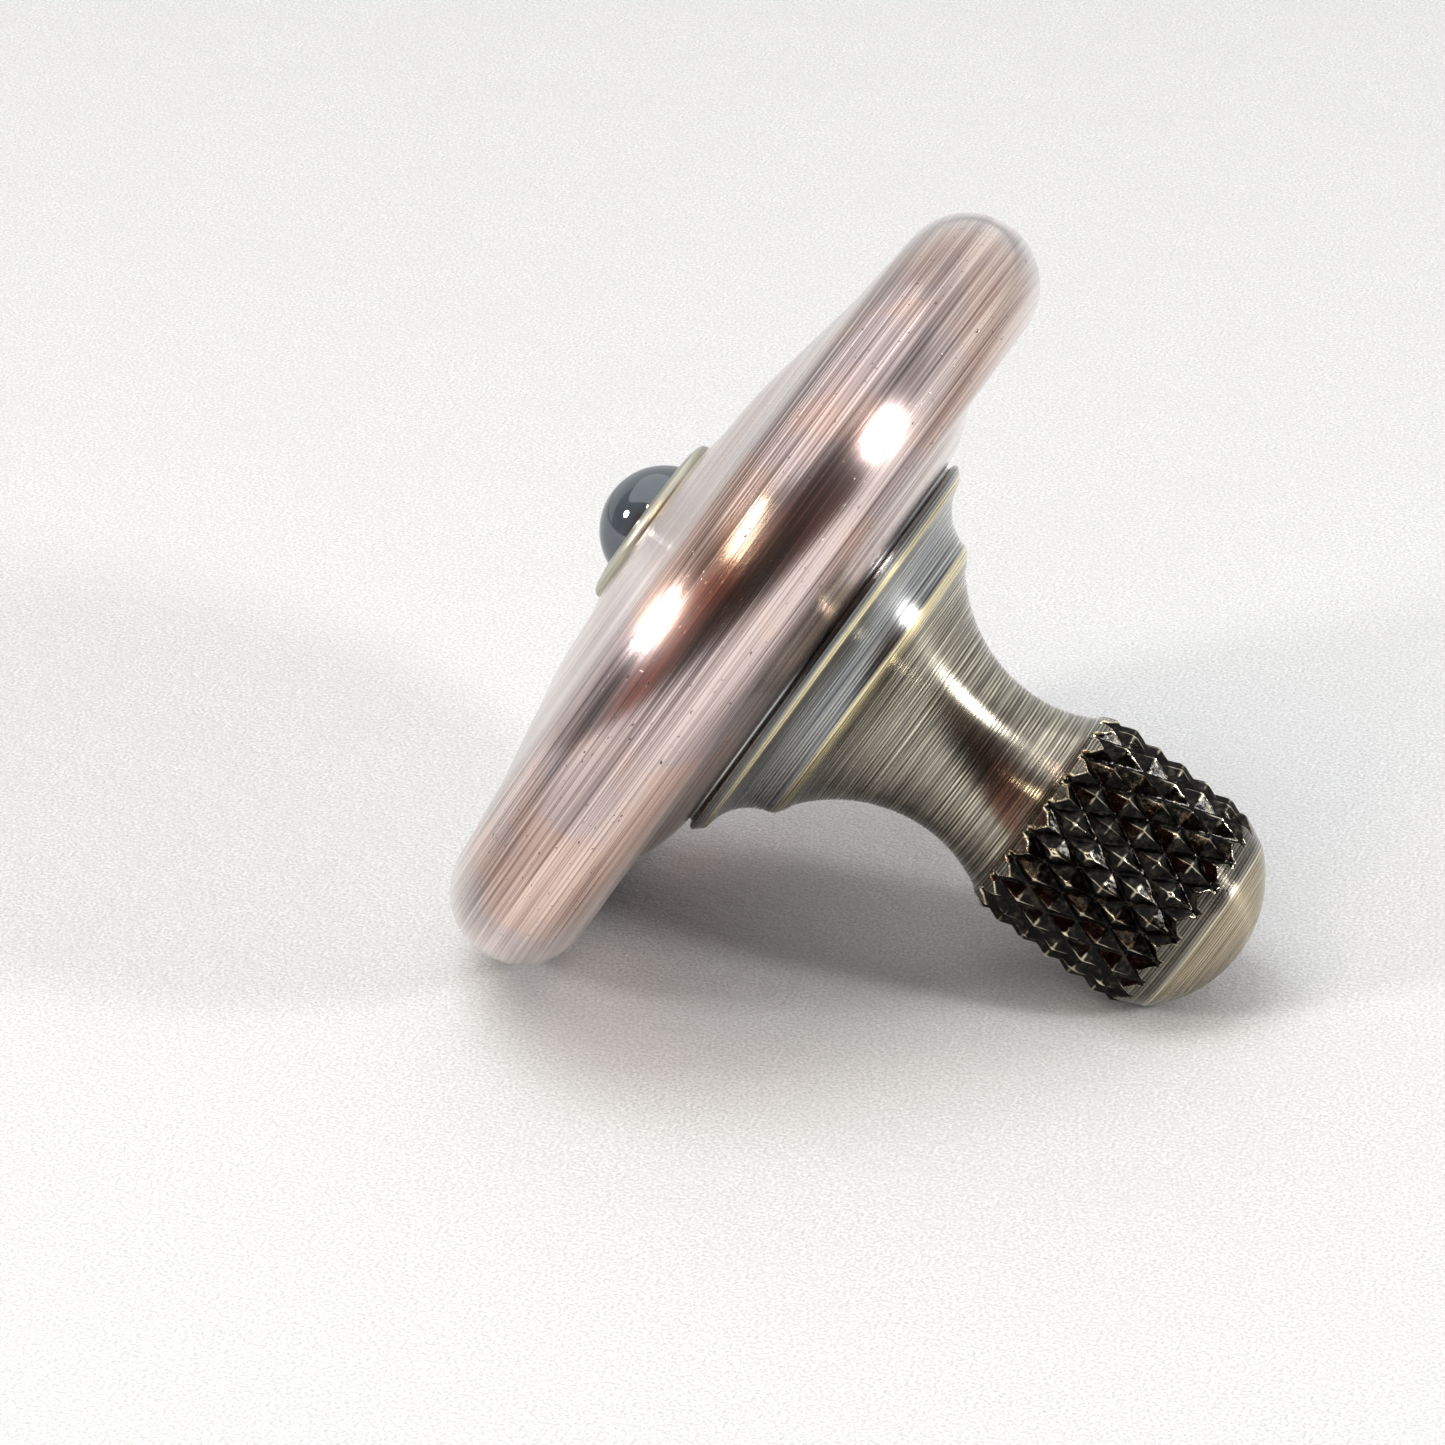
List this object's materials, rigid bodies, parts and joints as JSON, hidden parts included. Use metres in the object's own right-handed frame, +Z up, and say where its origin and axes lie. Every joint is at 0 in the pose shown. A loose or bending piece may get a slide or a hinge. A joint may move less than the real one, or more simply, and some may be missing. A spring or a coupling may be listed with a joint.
{
  "type": "finger top spinner",
  "caption": "Bearing-mounted finger-top spinner: a round-rimmed copper flywheel turns about a knurled, waisted brass handle with a ceramic ball tip, lying on its rim and handle end.",
  "frame": {"origin": "on the floor, under the middle of the part's bounding box as it lies on its rim and its handle end", "axes": "+Z up; the spin axis lies in the XZ plane, pointing from the tip ball to the handle towards +X and 32.5 degrees downwards; +Y is level, along the flywheel's diameter"},
  "size_m": [0.0372, 0.041, 0.0356],
  "materials": {
    "handle_brass": "antiqued, turned and brushed, blackened knurl with worn points",
    "tip_brass": "turned, lightly worn",
    "flywheel_copper": "aged copper, turned and brushed",
    "tip_ceramic": "polished silicon nitride",
    "ball_ceramic": "polished silicon nitride",
    "bearing_steel": "ground",
    "shield_steel": "pressed, satin",
    "shim_steel": "ground shim stock",
    "spring_steel": "phosphated spring steel",
    "cage_polymer": "moulded"
  },
  "bodies": {
    "handle": {"knurled_handle": "handle_brass", "race_shims": "shim_steel", "inner_race": "bearing_steel", "tip_screw": "tip_brass", "tip_ball": "tip_ceramic"},
    "flywheel": {"copper_flywheel": "flywheel_copper", "outer_race": "bearing_steel", "shield_handle_side": "shield_steel", "shield_tip_side": "shield_steel", "shield_wires": "spring_steel", "retaining_ring": "spring_steel"},
    "ball_set": {"bearing_cage": "cage_polymer", "bearing_balls": "ball_ceramic"}
  },
  "joints": [
    {"name": "flywheel_spin", "type": "hinge", "parent": "handle", "child": "flywheel", "pos_m": [-0.00604, 0, 0.01781], "axis": [0.8434, 0, -0.5373], "continuous": true},
    {"name": "ball_set_spin", "type": "hinge", "parent": "handle", "child": "ball_set", "pos_m": [-0.00604, 0, 0.01781], "axis": [0.8434, 0, -0.5373], "continuous": true}
  ],
  "couplings": [
    {"joint": "ball_set_spin", "follows": "flywheel_spin", "ratio": 0.58333}
  ]
}
